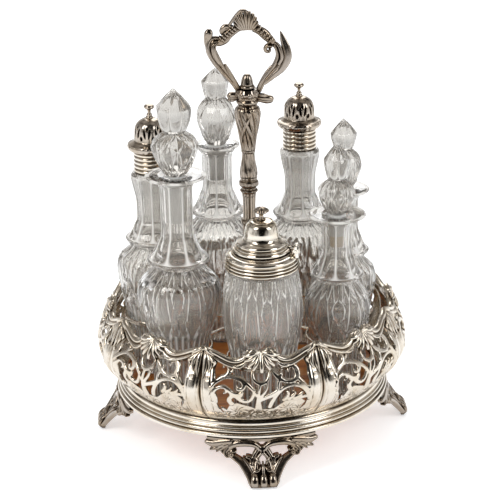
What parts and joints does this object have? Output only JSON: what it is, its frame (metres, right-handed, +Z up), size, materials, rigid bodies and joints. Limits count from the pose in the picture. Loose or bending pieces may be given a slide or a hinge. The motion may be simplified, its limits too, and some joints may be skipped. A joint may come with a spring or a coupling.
{
  "type": "cruet set",
  "caption": "Round footed table stand with a pierced gallery, a column handle and lift-out cut-glass condiment bottles with stoppers, shaker caps and a hinged mustard lid.",
  "frame": {"origin": "on the table under the column, at the bottom centre of the bounding box", "axes": "+Z up along the column; -Y is the front, where the mustard jar stands; +X to the right"},
  "size_m": [0.2558, 0.2558, 0.3448],
  "materials": {
    "silver": "silver plate, bright, dark in the recesses",
    "wood": "polished mahogany",
    "glass": "clear cut glass"
  },
  "bodies": {
    "stand": {"base_moulding": "silver", "floor_board": "wood", "gallery_panel_1": "silver", "gallery_panel_2": "silver", "gallery_panel_3": "silver", "gallery_panel_4": "silver", "gallery_panel_5": "silver", "gallery_panel_6": "silver", "gallery_panel_7": "silver", "gallery_panel_8": "silver", "rim_border_1": "silver", "rim_border_2": "silver", "rim_border_3": "silver", "rim_border_4": "silver", "rim_border_5": "silver", "rim_border_6": "silver", "rim_border_7": "silver", "rim_border_8": "silver", "foot_1": "silver", "foot_2": "silver", "foot_3": "silver", "foot_4": "silver", "column_rod": "silver", "column_knop": "silver", "column_stem": "silver", "column_vase": "silver", "column_washer": "silver", "column_nut": "silver", "handle_loop": "silver", "handle_finial": "silver", "frame_hub": "silver", "mustard_ring": "silver", "soy_ring": "silver", "sauce_ring": "silver", "pepper_ring": "silver", "vinegar_ring": "silver", "sugar_ring": "silver", "oil_ring": "silver"},
    "oil": {"oil_bottle": "glass"},
    "oil_stopper": {"oil_stopper": "glass"},
    "vinegar": {"vinegar_bottle": "glass"},
    "vinegar_stopper": {"vinegar_stopper": "glass"},
    "soy": {"soy_bottle": "glass"},
    "soy_stopper": {"soy_stopper": "glass"},
    "sauce": {"sauce_bottle": "glass"},
    "sauce_stopper": {"sauce_stopper": "glass"},
    "pepper": {"pepper_bottle": "glass", "pepper_collar": "silver"},
    "pepper_cap": {"pepper_cap": "silver"},
    "sugar": {"sugar_bottle": "glass", "sugar_collar": "silver"},
    "sugar_cap": {"sugar_cap": "silver"},
    "mustard": {"mustard_jar": "glass", "mustard_collar": "silver", "hinge_pin": "silver"},
    "mustard_lid": {"mustard_lid": "silver", "lid_button": "silver"}
  },
  "joints": [
    {"name": "oil_lift", "type": "slide", "parent": "stand", "child": "oil", "axis": [0, 0, 1], "range_m": [0, 0.12]},
    {"name": "vinegar_lift", "type": "slide", "parent": "stand", "child": "vinegar", "axis": [0, 0, 1], "range_m": [0, 0.12]},
    {"name": "soy_lift", "type": "slide", "parent": "stand", "child": "soy", "axis": [0, 0, 1], "range_m": [0, 0.12]},
    {"name": "sauce_lift", "type": "slide", "parent": "stand", "child": "sauce", "axis": [0, 0, 1], "range_m": [0, 0.12]},
    {"name": "pepper_lift", "type": "slide", "parent": "stand", "child": "pepper", "axis": [0, 0, 1], "range_m": [0, 0.12]},
    {"name": "sugar_lift", "type": "slide", "parent": "stand", "child": "sugar", "axis": [0, 0, 1], "range_m": [0, 0.12]},
    {"name": "mustard_lift", "type": "slide", "parent": "stand", "child": "mustard", "axis": [0, 0, 1], "range_m": [0, 0.12]},
    {"name": "oil_stopper_lift", "type": "slide", "parent": "oil", "child": "oil_stopper", "axis": [0, 0, 1], "range_m": [0, 0.045]},
    {"name": "vinegar_stopper_lift", "type": "slide", "parent": "vinegar", "child": "vinegar_stopper", "axis": [0, 0, 1], "range_m": [0, 0.036]},
    {"name": "soy_stopper_lift", "type": "slide", "parent": "soy", "child": "soy_stopper", "axis": [0, 0, 1], "range_m": [0, 0.032]},
    {"name": "sauce_stopper_lift", "type": "slide", "parent": "sauce", "child": "sauce_stopper", "axis": [0, 0, 1], "range_m": [0, 0.032]},
    {"name": "pepper_cap_lift", "type": "slide", "parent": "pepper", "child": "pepper_cap", "axis": [0, 0, 1], "range_m": [0, 0.02]},
    {"name": "sugar_cap_lift", "type": "slide", "parent": "sugar", "child": "sugar_cap", "axis": [0, 0, 1], "range_m": [0, 0.02]},
    {"name": "mustard_lid_hinge", "type": "hinge", "parent": "mustard", "child": "mustard_lid", "pos_m": [0.02988, -0.08244, 0.18], "axis": [0.1736, 0.9848, 0], "range_deg": [0, 100]}
  ]
}
